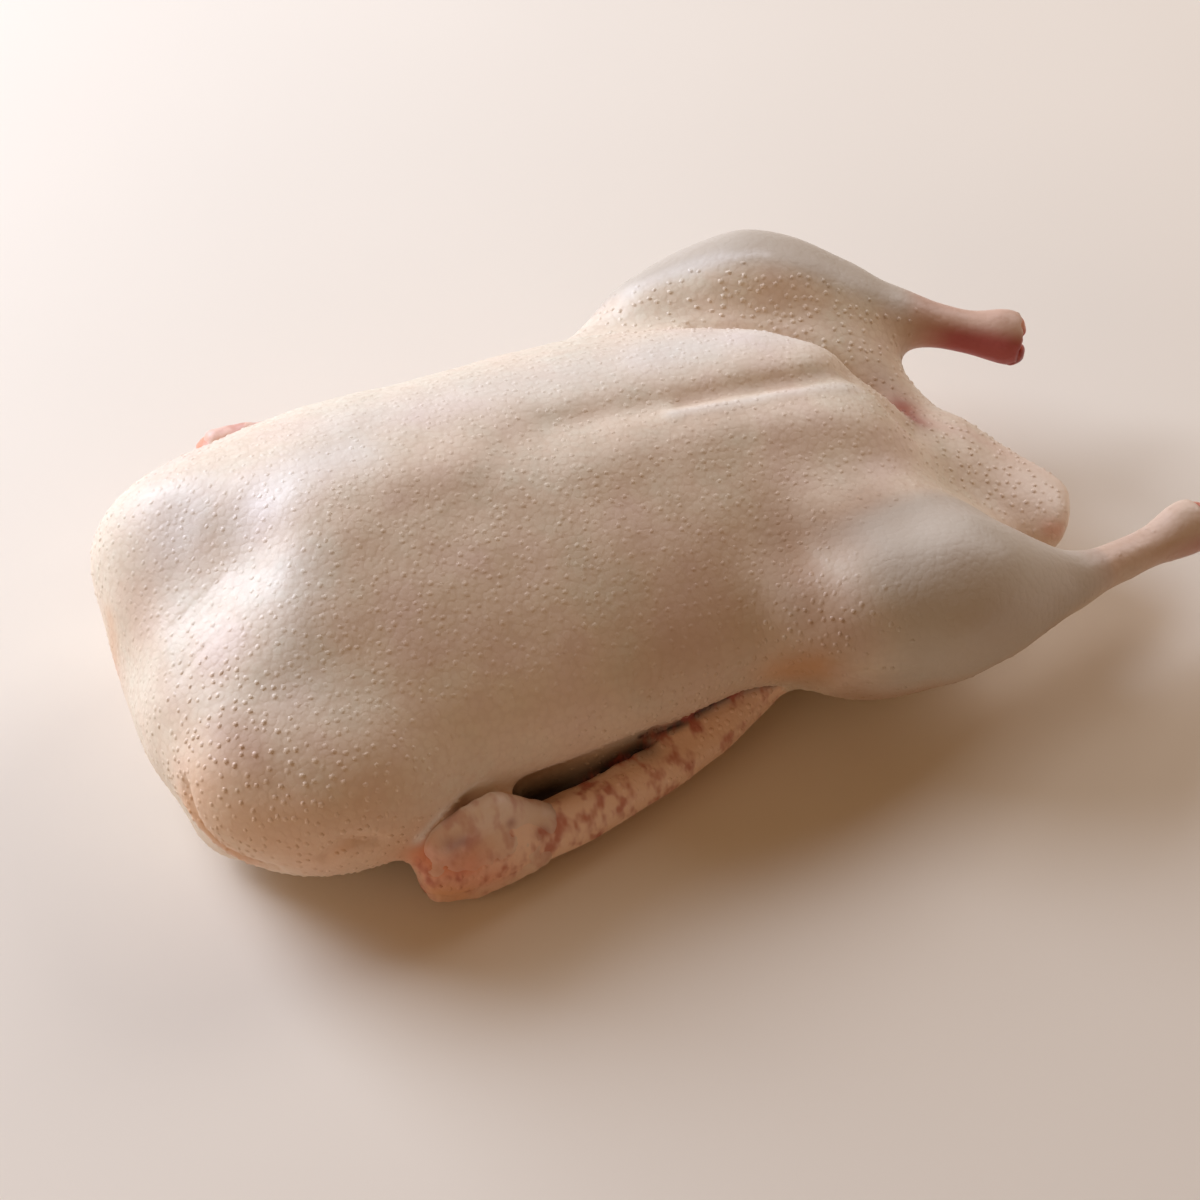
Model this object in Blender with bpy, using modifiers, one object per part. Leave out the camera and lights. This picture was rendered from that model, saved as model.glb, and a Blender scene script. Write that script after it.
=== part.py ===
"""Whole raw duck, plucked and dressed, lying on its back with the breast up: one closed solid."""

import bmesh
import bpy
import numpy as np
from mathutils import Vector

# Sizes are in metres. +X runs from the neck to the tail, +Z up through the breast, and the duck's
# right side is at -Y. The solid is moved at the end, so that the origin is under its middle.
NAME = "duck"
SKIN_COLOUR = (0.80, 0.66, 0.55, 1.0)
SKIN_ROUGHNESS = 0.45

# Trunk stations, front to rear: x, half width on the right and on the left, height of the keel, of
# the widest line and of the back. The right side is the fuller one.
TRUNK_STATIONS = (
    (-0.163, 0.024, 0.024, 0.060, 0.044, 0.026),
    (-0.156, 0.045, 0.043, 0.071, 0.045, 0.013),
    (-0.142, 0.062, 0.058, 0.083, 0.046, 0.003),
    (-0.117, 0.076, 0.070, 0.096, 0.047, -0.003),
    (-0.088, 0.081, 0.075, 0.103, 0.047, -0.004),
    (-0.040, 0.080, 0.076, 0.102, 0.047, -0.004),
    (0.010, 0.077, 0.079, 0.099, 0.046, -0.004),
    (0.055, 0.069, 0.080, 0.095, 0.045, -0.003),
    (0.090, 0.062, 0.070, 0.090, 0.043, 0.000),
    (0.112, 0.055, 0.055, 0.081, 0.039, 0.004),
    (0.128, 0.044, 0.044, 0.062, 0.034, 0.008),
    (0.146, 0.032, 0.032, 0.045, 0.029, 0.011),
)
TRUNK_SECTIONS = 48
SECTION_POINTS = 56
# Roundness of the sections: 2 is an ellipse, more is boxier and less is more like a roof.
LEFT_BREAST_EXPONENT = 2.1
RIGHT_BREAST_EXPONENT = 1.55
BACK_EXPONENT = 2.4
# How far the keel leans to the left, as a share of the height above the widest line.
KEEL_LEAN = 0.17

# Soft masses that round out the trunk: centre, then radii.
RIGHT_SHOULDER = ((-0.1045, -0.0505, 0.0400), (0.052, 0.045, 0.036))
LEFT_SHOULDER = ((-0.109, 0.035, 0.049), (0.051, 0.038, 0.044))
RIGHT_THIGH_ROOT = ((0.094, -0.042, 0.038), (0.047, 0.033, 0.034))
LEFT_THIGH_ROOT = ((0.096, 0.046, 0.037), (0.047, 0.034, 0.034))
NECK_FOLD = ((-0.138, -0.045, 0.010), (0.017, 0.018, 0.009))
MASSES = (RIGHT_SHOULDER, LEFT_SHOULDER, RIGHT_THIGH_ROOT, LEFT_THIGH_ROOT, NECK_FOLD)

# Leg paths: a point and the flesh's radius there. The two legs lie a little differently.
RIGHT_THIGH = (((0.050, -0.043, 0.046), 0.027), ((0.082, -0.060, 0.047), 0.035))
RIGHT_DRUMSTICK = (
    ((0.074, -0.061, 0.047), 0.030),
    ((0.109, -0.069, 0.049), 0.032),
    ((0.137, -0.070, 0.042), 0.020),
    ((0.158, -0.068, 0.037), 0.011),
)
RIGHT_SHANK = (
    ((0.152, -0.069, 0.038), 0.0118),
    ((0.169, -0.066, 0.0355), 0.0085),
    ((0.190, -0.062, 0.035), 0.0078),
    ((0.2060, -0.0590, 0.0355), 0.0108),
    ((0.2140, -0.0575, 0.0360), 0.0100),
)
LEFT_THIGH = (((0.035, 0.058, 0.054), 0.027), ((0.066, 0.076, 0.056), 0.026))
LEFT_DRUMSTICK = (
    ((0.061, 0.082, 0.056), 0.022),
    ((0.100, 0.081, 0.060), 0.027),
    ((0.134, 0.068, 0.054), 0.018),
    ((0.152, 0.059, 0.049), 0.0115),
)
LEFT_SHANK = (
    ((0.146, 0.062, 0.051), 0.0128),
    ((0.161, 0.055, 0.048), 0.0090),
    ((0.174, 0.049, 0.045), 0.0085),
    ((0.1860, 0.0435, 0.0430), 0.0110),
    ((0.1925, 0.0410, 0.0420), 0.0104),
)
# Loose skin of the thigh, running back to the root of the tail.
RIGHT_WEB = (((0.110, -0.058, 0.040), 0.022), ((0.142, -0.032, 0.027), 0.013))
LEFT_WEB = (((0.117, 0.060, 0.044), 0.019), ((0.144, 0.021, 0.028), 0.012))
LEG_PATHS = (RIGHT_THIGH, RIGHT_DRUMSTICK, LEFT_THIGH, LEFT_DRUMSTICK, RIGHT_WEB, LEFT_WEB)

# Wing paths. The forearm lies folded forward along the trunk and is cut through at the wrist.
RIGHT_UPPER_ARM = (((-0.060, -0.056, 0.024), 0.015), ((0.041, -0.056, 0.019), 0.0115))
RIGHT_FOREARM = (
    ((0.041, -0.0605, 0.0190), 0.0098),
    ((0.020, -0.0690, 0.0155), 0.0098),
    ((-0.011, -0.0795, 0.0140), 0.0100),
    ((-0.044, -0.0870, 0.0138), 0.0103),
    ((-0.062, -0.0872, 0.0165), 0.0140),
    ((-0.081, -0.0875, 0.0155), 0.0122),
    ((-0.0905, -0.0873, 0.0155), 0.0118),
)
LEFT_UPPER_ARM = (((-0.060, 0.056, 0.024), 0.015), ((0.043, 0.062, 0.019), 0.0115))
LEFT_FOREARM = (
    ((0.043, 0.070, 0.018), 0.0100),
    ((0.010, 0.081, 0.016), 0.0100),
    ((-0.035, 0.092, 0.017), 0.0103),
    ((-0.072, 0.100, 0.0225), 0.0130),
    ((-0.096, 0.104, 0.0250), 0.0125),
    ((-0.1040, 0.105, 0.0253), 0.0120),
)
CUT_LIMBS = (RIGHT_SHANK, LEFT_SHANK, RIGHT_FOREARM, LEFT_FOREARM)
# Skin stretched between the forearm and the trunk, low down, so that a groove is left above it.
RIGHT_WING_SKIN = (((-0.052, -0.069, 0.009), 0.015), ((0.015, -0.060, 0.010), 0.014))
LEFT_WING_SKIN = (((-0.052, 0.078, 0.010), 0.018), ((0.015, 0.068, 0.010), 0.014))
WING_SKIN_FLATTEN = 0.5

# The tail is a broad flat flap that stands out level from the rump.
TAIL = (
    ((0.128, -0.001, 0.038), 0.0300),
    ((0.148, -0.0160, 0.0315), 0.0250),
    ((0.162, -0.0280, 0.0300), 0.0200),
    ((0.1715, -0.0335, 0.0285), 0.0165),
)
TAIL_FLATTEN = 0.52

# Strokes carved in or raised on the body: path, radius and lift.
KEEL_TIP = (-0.088, 0.000, 0.105)
WISHBONE_HOLLOW = (
    ((-0.118, 0.000, 0.092), (-0.145, 0.000, 0.076), (-0.160, 0.004, 0.052)),
    0.024,
    -0.0075,
)
WISHBONE_RIGHT_ARM = (
    ((-0.100, -0.014, 0.100), (-0.118, -0.034, 0.086), (-0.144, -0.060, 0.046)),
    0.016,
    0.0030,
)
WISHBONE_LEFT_ARM = (
    ((-0.100, 0.012, 0.100), (-0.122, 0.030, 0.086), (-0.148, 0.048, 0.056)),
    0.015,
    0.0028,
)
KEEL_RIDGE = ((KEEL_TIP, (-0.030, 0.000, 0.103)), 0.014, 0.0014)
KEEL_GROOVE = (((-0.020, 0.006, 0.101), (0.040, 0.007, 0.096), (0.102, 0.006, 0.088)), 0.008, -0.0035)
KEEL_EDGE = (((0.000, -0.008, 0.100), (0.098, -0.007, 0.089)), 0.008, 0.0015)
LEFT_THIGH_CREASE = (((0.040, 0.070, 0.070), (0.088, 0.052, 0.074), (0.115, 0.026, 0.060)), 0.011, -0.007)
VENT_CREASE = (((0.115, 0.026, 0.060), (0.126, 0.013, 0.048)), 0.009, -0.007)
RIGHT_THIGH_CREASE = (((0.122, -0.030, 0.052), (0.146, -0.026, 0.038)), 0.010, -0.003)
BODY_STROKES = (
    WISHBONE_HOLLOW,
    WISHBONE_RIGHT_ARM,
    WISHBONE_LEFT_ARM,
    KEEL_RIDGE,
    KEEL_GROOVE,
    KEEL_EDGE,
    LEFT_THIGH_CREASE,
    VENT_CREASE,
    RIGHT_THIGH_CREASE,
)
# Grooves along the folded wings, then the knobs of the joints at the wrists and hocks.
LIMB_STROKES = (
    (((-0.088, -0.076, 0.022), (-0.062, -0.074, 0.029)), 0.006, -0.0040),
    (((-0.050, -0.074, 0.022), (-0.010, -0.069, 0.020), (0.040, -0.058, 0.023)), 0.006, -0.0050),
    (((-0.095, 0.086, 0.030), (-0.040, 0.078, 0.024), (0.036, 0.064, 0.026)), 0.006, -0.0050),
    (((-0.063, -0.0810, 0.0295),), 0.010, 0.0055),
    (((-0.084, -0.0830, 0.0280),), 0.008, 0.0045),
    (((-0.078, -0.098, 0.0100),), 0.008, 0.0015),
    (((-0.072, 0.094, 0.0320),), 0.009, 0.0030),
    (((-0.091, 0.104, 0.0340),), 0.007, 0.0025),
    (((0.184, 0.047, 0.053),), 0.006, 0.0020),
    (((0.200, -0.060, 0.046),), 0.006, 0.0020),
)

# Remeshing, smoothing and the number of triangles left at the end.
BODY_VOXEL = 0.0032
LIMB_VOXEL = 0.0024
BODY_ROUNDS = 26
LIMB_ROUNDS = 7
STROKE_ROUNDS = 2
LAST_ROUNDS = 1
TRIANGLES = 9000
REST_DEPTH = 0.0022
REST_SNAP = 0.0004

# Fineness of the shapes before they are fused.
SPHERE_SEGMENTS = 40
SPHERE_RINGS = 20
LIMB_STEPS = 10
PATH_STEPS = 6
LIMB_ROUNDNESS = 6


def clear_scene():
    """Empties the scene that the script starts in."""
    for obj in list(bpy.data.objects):
        bpy.data.objects.remove(obj, do_unlink=True)


def through(stations, values, at):
    """A smooth line through the values at the stations, read at the given places."""
    slopes = np.gradient(values, stations)
    i = np.clip(np.searchsorted(stations, at) - 1, 0, len(stations) - 2)
    step = stations[i + 1] - stations[i]
    t = (at - stations[i]) / step
    start = (2 * t**3 - 3 * t**2 + 1) * values[i] + (t**3 - 2 * t**2 + t) * step * slopes[i]
    end = (3 * t**2 - 2 * t**3) * values[i + 1] + (t**3 - t**2) * step * slopes[i + 1]
    return start + end


def linked(name, data):
    """An object for this data, linked to the scene."""
    obj = bpy.data.objects.new(name, data)
    bpy.context.scene.collection.objects.link(obj)
    return obj


def trunk():
    """The barrel of the body, lofted through superelliptic sections: round breast, flatter back."""
    table = np.array(TRUNK_STATIONS)
    x = np.linspace(table[0, 0], table[-1, 0], TRUNK_SECTIONS)
    columns = (through(table[:, 0], table[:, k], x) for k in range(1, table.shape[1]))
    right_width, left_width, keel, widest, back = columns
    angle = np.linspace(0, 2 * np.pi, SECTION_POINTS, endpoint=False)
    breast = np.where(np.cos(angle) > 0, LEFT_BREAST_EXPONENT, RIGHT_BREAST_EXPONENT)
    exponent = np.where(np.sin(angle) > 0, breast, BACK_EXPONENT)
    across = np.sign(np.cos(angle)) * np.abs(np.cos(angle)) ** (2 / exponent)
    upward = np.sign(np.sin(angle)) * np.abs(np.sin(angle)) ** (2 / exponent)
    bm = bmesh.new()
    rings = []
    for k in range(TRUNK_SECTIONS):
        width = np.where(across > 0, left_width[k], right_width[k])
        height = np.where(upward > 0, keel[k] - widest[k], widest[k] - back[k])
        lean = KEEL_LEAN * (keel[k] - widest[k]) * np.maximum(upward, 0) ** 2
        ring = [
            bm.verts.new((x[k], y, z))
            for y, z in zip(width * across + lean, widest[k] + height * upward)
        ]
        rings.append(ring)
    for ring, following in zip(rings, rings[1:]):
        for j in range(SECTION_POINTS):
            k = (j + 1) % SECTION_POINTS
            bm.faces.new((ring[j], ring[k], following[k], following[j]))
    bm.faces.new(reversed(rings[0]))
    bm.faces.new(rings[-1])
    bmesh.ops.recalc_face_normals(bm, faces=bm.faces)
    mesh = bpy.data.meshes.new("trunk")
    bm.to_mesh(mesh)
    bm.free()
    return linked("trunk", mesh)


def mass(name, centre, radii):
    """An ellipsoid of flesh."""
    bpy.ops.mesh.primitive_uv_sphere_add(
        segments=SPHERE_SEGMENTS, ring_count=SPHERE_RINGS, radius=1, location=centre
    )
    obj = bpy.context.object
    obj.name = name
    obj.scale = radii
    return obj


def limb(name, stations, flatten=1.0, cut_off=False):
    """A round tapering limb along the stations' path, with a flat far end where it is cut off.

    A flattened one is thinner in height.
    """
    curve = bpy.data.curves.new(name, "CURVE")
    curve.dimensions = "3D"
    curve.bevel_depth = 1.0
    curve.bevel_resolution = LIMB_ROUNDNESS
    curve.use_fill_caps = True
    curve.resolution_u = LIMB_STEPS
    spline = curve.splines.new("BEZIER")
    spline.bezier_points.add(len(stations) - 1)
    middle = sum((Vector(place) for place, _ in stations), Vector()) / len(stations)
    for point, (place, radius) in zip(spline.bezier_points, stations):
        point.co = (place[0], place[1], middle.z + (place[2] - middle.z) / flatten)
        point.radius = radius
        point.handle_left_type = point.handle_right_type = "AUTO"
    obj = linked(name, curve)
    obj.scale.z = flatten
    obj.location.z = middle.z * (1 - flatten)
    rounded = stations[:1] if cut_off else (stations[0], stations[-1])
    ends = [mass(name + "_end", place, (r, r, r * flatten)) for place, r in rounded]
    return [obj, *ends]


def fused(name, objects, voxel):
    """All the objects as one closed mesh, by voxel remeshing. The objects are used up."""
    bpy.context.view_layer.update()
    graph = bpy.context.evaluated_depsgraph_get()
    bm = bmesh.new()
    for obj in objects:
        part = bpy.data.meshes.new_from_object(obj.evaluated_get(graph))
        part.transform(obj.matrix_world)
        bm.from_mesh(part)
        bpy.data.meshes.remove(part)
    bmesh.ops.remove_doubles(bm, verts=bm.verts, dist=1e-6)
    joined = bpy.data.meshes.new(name)
    bm.to_mesh(joined)
    bm.free()
    for obj in objects:
        bpy.data.objects.remove(obj, do_unlink=True)
    result = linked(name, joined)
    remesh = result.modifiers.new("remesh", "REMESH")
    remesh.mode = "VOXEL"
    remesh.voxel_size = voxel
    baked(result)
    return result


def baked(obj):
    """Makes the object's modifiers part of its mesh."""
    bpy.context.view_layer.update()
    graph = bpy.context.evaluated_depsgraph_get()
    mesh = bpy.data.meshes.new_from_object(obj.evaluated_get(graph))
    obj.modifiers.clear()
    obj.data = mesh


def points_of(obj):
    """The mesh's points as an array."""
    points = np.empty(len(obj.data.vertices) * 3)
    obj.data.vertices.foreach_get("co", points)
    return points.reshape(-1, 3)


def normals_of(obj):
    """The mesh's outward directions at its points."""
    normals = np.empty(len(obj.data.vertices) * 3)
    obj.data.vertices.foreach_get("normal", normals)
    return normals.reshape(-1, 3)


def put_points(obj, points):
    """Moves the mesh's points."""
    obj.data.vertices.foreach_set("co", points.ravel())
    obj.data.update()


def relax(obj, rounds):
    """Evens out the surface: each round moves a point halfway to the middle of its neighbours."""
    points = points_of(obj)
    ends = np.empty(len(obj.data.edges) * 2, int)
    obj.data.edges.foreach_get("vertices", ends)
    a, b = ends.reshape(-1, 2).T
    count = np.bincount(ends, minlength=len(points))
    for _ in range(rounds):
        for axis in range(3):
            value = points[:, axis]
            total = np.bincount(a, value[b], len(points)) + np.bincount(b, value[a], len(points))
            points[:, axis] = (value + total / count) / 2
    put_points(obj, points)


def distance_to(points, path):
    """How far each point is from a line through the path's points."""
    path = np.array(path, float)
    if len(path) == 1:
        return np.linalg.norm(points - path[0], axis=1)
    nearest = np.full(len(points), np.inf)
    for start, end in zip(path, path[1:]):
        run = end - start
        share = np.clip((points - start) @ run / (run @ run), 0, 1)
        nearest = np.minimum(nearest, np.linalg.norm(points - start - share[:, None] * run, axis=1))
    return nearest


def laid_on(points, path):
    """The path with steps put in and each one moved to the nearest point of the surface."""
    path = np.array(path, float)
    at = np.linspace(0, len(path) - 1, PATH_STEPS * (len(path) - 1) + 1)
    steps = np.stack([np.interp(at, np.arange(len(path)), path[:, axis]) for axis in range(3)], axis=1)
    nearest = [int(np.argmin(np.linalg.norm(points - step, axis=1))) for step in steps]
    return points[list(dict.fromkeys(nearest))]


def stroke(obj, path, radius, lift):
    """Raises the skin along a path, or sinks it where lift is negative, fading out at the radius."""
    points = points_of(obj)
    strength = np.exp(-((distance_to(points, laid_on(points, path)) / radius) ** 2))
    put_points(obj, points + normals_of(obj) * (lift * strength)[:, None])


def body_masses():
    """Trunk, shoulders, thighs, drumsticks and the root of the tail, fused and well rounded."""
    objects = [trunk()]
    objects += [mass("mass", centre, radii) for centre, radii in MASSES]
    for stations in LEG_PATHS:
        objects += limb("leg", stations)
    objects += limb("tail_root", TAIL[:2], TAIL_FLATTEN)
    body = fused("body", objects, BODY_VOXEL)
    relax(body, BODY_ROUNDS)
    for path, radius, lift in BODY_STROKES:
        stroke(body, path, radius, lift)
    relax(body, STROKE_ROUNDS)
    return body


def extremities():
    """Shanks, wings and tail tip, which keep crisper edges than the body."""
    objects = limb("upper_arm", RIGHT_UPPER_ARM) + limb("upper_arm", LEFT_UPPER_ARM)
    for stations in CUT_LIMBS:
        objects += limb("cut_limb", stations, cut_off=True)
    for stations in (RIGHT_WING_SKIN, LEFT_WING_SKIN):
        objects += limb("wing_skin", stations, WING_SKIN_FLATTEN)
    objects += limb("tail", TAIL, TAIL_FLATTEN, cut_off=True)
    return objects


def settle(duck):
    """Presses the underside flat where it rests, and moves the origin under the middle."""
    points = points_of(duck)
    lowest = points[:, 2].min() + REST_DEPTH
    points[:, 2] = np.maximum(points[:, 2], lowest)
    points[:, 2] -= lowest
    points[points[:, 2] < REST_SNAP, 2] = 0.0
    middle = (points.min(axis=0)[:2] + points.max(axis=0)[:2]) / 2
    points[:, :2] -= middle
    put_points(duck, points)


def thin_out(duck):
    """Leaves about the wanted number of triangles, more of them where the form is fine."""
    split = duck.modifiers.new("triangles", "TRIANGULATE")
    split.quad_method = "BEAUTY"
    fewer = duck.modifiers.new("fewer", "DECIMATE")
    fewer.ratio = TRIANGLES / (2 * len(duck.data.polygons))
    baked(duck)


def skin_material():
    """Pale raw skin."""
    material = bpy.data.materials.new("raw_skin")
    material.use_nodes = True
    shader = material.node_tree.nodes["Principled BSDF"]
    shader.inputs["Base Color"].default_value = SKIN_COLOUR
    shader.inputs["Roughness"].default_value = SKIN_ROUGHNESS
    return material


def main():
    clear_scene()
    body = body_masses()
    duck = fused(NAME, [body, *extremities()], LIMB_VOXEL)
    relax(duck, LIMB_ROUNDS)
    for path, radius, lift in LIMB_STROKES:
        stroke(duck, path, radius, lift)
    relax(duck, LAST_ROUNDS)
    thin_out(duck)
    settle(duck)
    duck.data.materials.append(skin_material())
    for polygon in duck.data.polygons:
        polygon.use_smooth = True


main()
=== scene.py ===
"""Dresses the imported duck: raw skin with its folds and feather follicles, and the cut joints.

The file is laid out as a Blender add-on and run as a script. Sizes are in metres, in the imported
part's frame: +X runs from the neck to the tail, +Z up through the breast, and the duck's right side
is at -Y, towards the camera.
"""

import bmesh
import bpy
import numpy as np
from bpy.props import FloatProperty, FloatVectorProperty, IntProperty, PointerProperty
from mathutils import Matrix, Vector, noise


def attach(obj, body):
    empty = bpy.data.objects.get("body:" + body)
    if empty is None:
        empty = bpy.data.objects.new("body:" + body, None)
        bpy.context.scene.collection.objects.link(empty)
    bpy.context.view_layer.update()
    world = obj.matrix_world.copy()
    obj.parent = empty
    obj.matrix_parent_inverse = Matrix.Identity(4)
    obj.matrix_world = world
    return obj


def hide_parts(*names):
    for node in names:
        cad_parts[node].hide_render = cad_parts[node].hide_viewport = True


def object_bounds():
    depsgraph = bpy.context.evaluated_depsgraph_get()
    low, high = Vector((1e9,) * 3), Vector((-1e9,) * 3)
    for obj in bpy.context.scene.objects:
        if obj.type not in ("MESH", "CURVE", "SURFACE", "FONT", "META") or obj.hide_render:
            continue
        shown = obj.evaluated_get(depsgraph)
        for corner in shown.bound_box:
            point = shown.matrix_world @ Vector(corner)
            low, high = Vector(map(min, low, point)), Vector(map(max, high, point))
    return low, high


bl_info = {
    "name": "Whole Raw Duck",
    "version": (1, 0, 0),
    "blender": (4, 5, 0),
    "location": "3D View > Sidebar > Duck",
    "description": "Dresses the packed duck with raw skin, feather follicles and cut joints",
    "category": "Add Mesh",
}

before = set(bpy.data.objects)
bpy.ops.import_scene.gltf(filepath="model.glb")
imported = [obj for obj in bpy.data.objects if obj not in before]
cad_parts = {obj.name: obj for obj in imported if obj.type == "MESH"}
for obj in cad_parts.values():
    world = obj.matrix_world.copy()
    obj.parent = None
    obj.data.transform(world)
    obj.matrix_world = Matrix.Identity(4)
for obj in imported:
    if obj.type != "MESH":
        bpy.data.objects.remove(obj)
CAD_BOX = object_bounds()
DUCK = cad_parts["duck"]
BODY = "root"

# Limbs as the part's source has them: a point of the middle line, and the flesh's radius there.
RIGHT_DRUMSTICK = (
    ((0.0467, -0.0685, 0.0487), 0.030),
    ((0.0817, -0.0765, 0.0507), 0.032),
    ((0.1097, -0.0775, 0.0437), 0.020),
    ((0.1307, -0.0755, 0.0387), 0.0115),
)
RIGHT_SHANK = (
    ((0.1247, -0.0765, 0.0397), 0.0118),
    ((0.1417, -0.0735, 0.0372), 0.0085),
    ((0.1627, -0.0695, 0.0367), 0.0078),
    ((0.1787, -0.0665, 0.0372), 0.0108),
    ((0.1867, -0.065, 0.0377), 0.010),
)
LEFT_DRUMSTICK = (
    ((0.0337, 0.0745, 0.0577), 0.022),
    ((0.0727, 0.0735, 0.0617), 0.027),
    ((0.1067, 0.0605, 0.0557), 0.018),
    ((0.1247, 0.0515, 0.0507), 0.0115),
)
LEFT_SHANK = (
    ((0.1187, 0.0545, 0.0527), 0.0128),
    ((0.1337, 0.0475, 0.0497), 0.009),
    ((0.1467, 0.0415, 0.0467), 0.0085),
    ((0.1587, 0.036, 0.0447), 0.011),
    ((0.1652, 0.0335, 0.0437), 0.0104),
)
RIGHT_FOREARM = (
    ((0.0137, -0.068, 0.0207), 0.0098),
    ((-0.0073, -0.0765, 0.0172), 0.0098),
    ((-0.0383, -0.087, 0.0157), 0.010),
    ((-0.0713, -0.0945, 0.0155), 0.0103),
    ((-0.0893, -0.0947, 0.0182), 0.014),
    ((-0.1083, -0.095, 0.0172), 0.0122),
    ((-0.1178, -0.0948, 0.0172), 0.0118),
)
LEFT_FOREARM = (
    ((0.0157, 0.0625, 0.0197), 0.010),
    ((-0.0173, 0.0735, 0.0177), 0.010),
    ((-0.0623, 0.0845, 0.0187), 0.0103),
    ((-0.0993, 0.0925, 0.0242), 0.013),
    ((-0.1233, 0.0965, 0.0267), 0.0125),
    ((-0.1313, 0.0975, 0.027), 0.012),
)
TAIL = (
    ((0.1007, -0.0085, 0.0397), 0.030),
    ((0.1207, -0.0235, 0.0332), 0.025),
    ((0.1347, -0.0355, 0.0317), 0.020),
    ((0.1442, -0.041, 0.0302), 0.0165),
)

# Folds and ridges of the skin: a path, the stroke's radius and its lift.
KEEL_GROOVE = (
    (
        (-0.030, 0.004, 0.099),
        (0.0155, 0.0019, 0.0947),
        (0.059, 0.0022, 0.0894),
        (0.0803, 0.0065, 0.083),
    ),
    0.005,
    -0.0008,
)
KEEL_GROOVE_END = (
    ((0.015, 0.0019, 0.0947), (0.059, 0.0022, 0.0894), (0.0803, 0.0065, 0.083)),
    0.0042,
    -0.001,
)
KEEL_LIP = (
    ((0.010, -0.005, 0.0948), (0.040, -0.0056, 0.0915), (0.074, -0.003, 0.085)),
    0.0034,
    0.0009,
)
BREAST_CORNER = (
    ((0.084, 0.006, 0.080), (0.092, -0.006, 0.072), (0.098, -0.012, 0.064)),
    0.0075,
    -0.0035,
)
LEFT_THIGH_CREASE = (
    ((0.040, 0.050, 0.075), (0.060, 0.046, 0.0735), (0.080, 0.037, 0.069), (0.096, 0.017, 0.059)),
    0.0028,
    -0.0022,
)
WING_CREASE = (
    ((-0.026, -0.0776, 0.0258), (-0.0087, -0.075, 0.0266), (0.020, -0.0715, 0.0275)),
    0.0022,
    -0.0024,
)
GROIN_FILL = (
    ((0.045, -0.047, 0.080), (0.060, -0.046, 0.078), (0.078, -0.046, 0.073)),
    0.010,
    0.002,
)
THIGH_TOP = (
    ((0.036, -0.064, 0.081), (0.050, -0.064, 0.081), (0.066, -0.063, 0.080)),
    0.013,
    -0.0022,
)
# Fine wrinkles at the neck end: the first one's path, the step to the next one, how many there
# are, and their radius and lift.
FRONT_WRINKLE = ((-0.1725, -0.015, 0.0745), (-0.153, -0.0115, 0.088))
FRONT_WRINKLE_STEP = (-0.0004, -0.0036, -0.0004)
FRONT_WRINKLES = 6
FRONT_WRINKLE_RADIUS = 0.0014
FRONT_WRINKLE_DEPTH = -0.00030
NECK_FOLD_CREASE = (
    ((-0.183, -0.062, 0.050), (-0.176, -0.076, 0.033), (-0.163, -0.088, 0.030)),
    0.0028,
    -0.002,
)
SCUFF_FOLD = (
    ((-0.148, -0.098, 0.040), (-0.140, -0.099, 0.047), (-0.131, -0.098, 0.044)),
    0.0022,
    -0.0014,
)
THIGH_FOLDS = (
    (((0.030, -0.092, 0.052), (0.044, -0.099, 0.048), (0.060, -0.101, 0.047)), 0.0018, -0.0008),
    (((0.034, -0.092, 0.046), (0.048, -0.099, 0.042), (0.064, -0.100, 0.041)), 0.0018, -0.0008),
)
WRIST_RECESS = (((-0.110, -0.0955, 0.034), (-0.098, -0.093, 0.034)), 0.0065, -0.003)
STROKES = (
    KEEL_GROOVE,
    KEEL_GROOVE_END,
    KEEL_LIP,
    BREAST_CORNER,
    LEFT_THIGH_CREASE,
    WING_CREASE,
    GROIN_FILL,
    THIGH_TOP,
    NECK_FOLD_CREASE,
    SCUFF_FOLD,
    *THIGH_FOLDS,
    WRIST_RECESS,
)
# Steps put in between two points of a stroke's path, and how often the path is evened out.
PATH_STEPS = 8
PATH_ROUNDS = 3

# Deep slits where skin lies against skin: a path, the slit's half width and its half depth.
RIGHT_WING_SLIT = (
    ((-0.086, -0.0835, 0.027), 0.0024, 0.006),
    ((-0.072, -0.0805, 0.019), 0.004, 0.0075),
    ((-0.061, -0.080, 0.0205), 0.004, 0.008),
    ((-0.0489, -0.080, 0.0227), 0.0028, 0.008),
    ((-0.0355, -0.0788, 0.0244), 0.0019, 0.007),
    ((-0.0223, -0.0772, 0.0263), 0.0012, 0.005),
)
LEFT_WING_SLIT = (
    ((-0.090, 0.066, 0.022), 0.003, 0.007),
    ((-0.070, 0.070, 0.019), 0.003, 0.007),
    ((-0.040, 0.066, 0.020), 0.0024, 0.006),
    ((-0.010, 0.067, 0.025), 0.0016, 0.005),
    ((0.000, 0.069, 0.026), 0.0014, 0.004),
)
SLITS = (RIGHT_WING_SLIT, LEFT_WING_SLIT)
SLIT_CORNERS = 12

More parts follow.
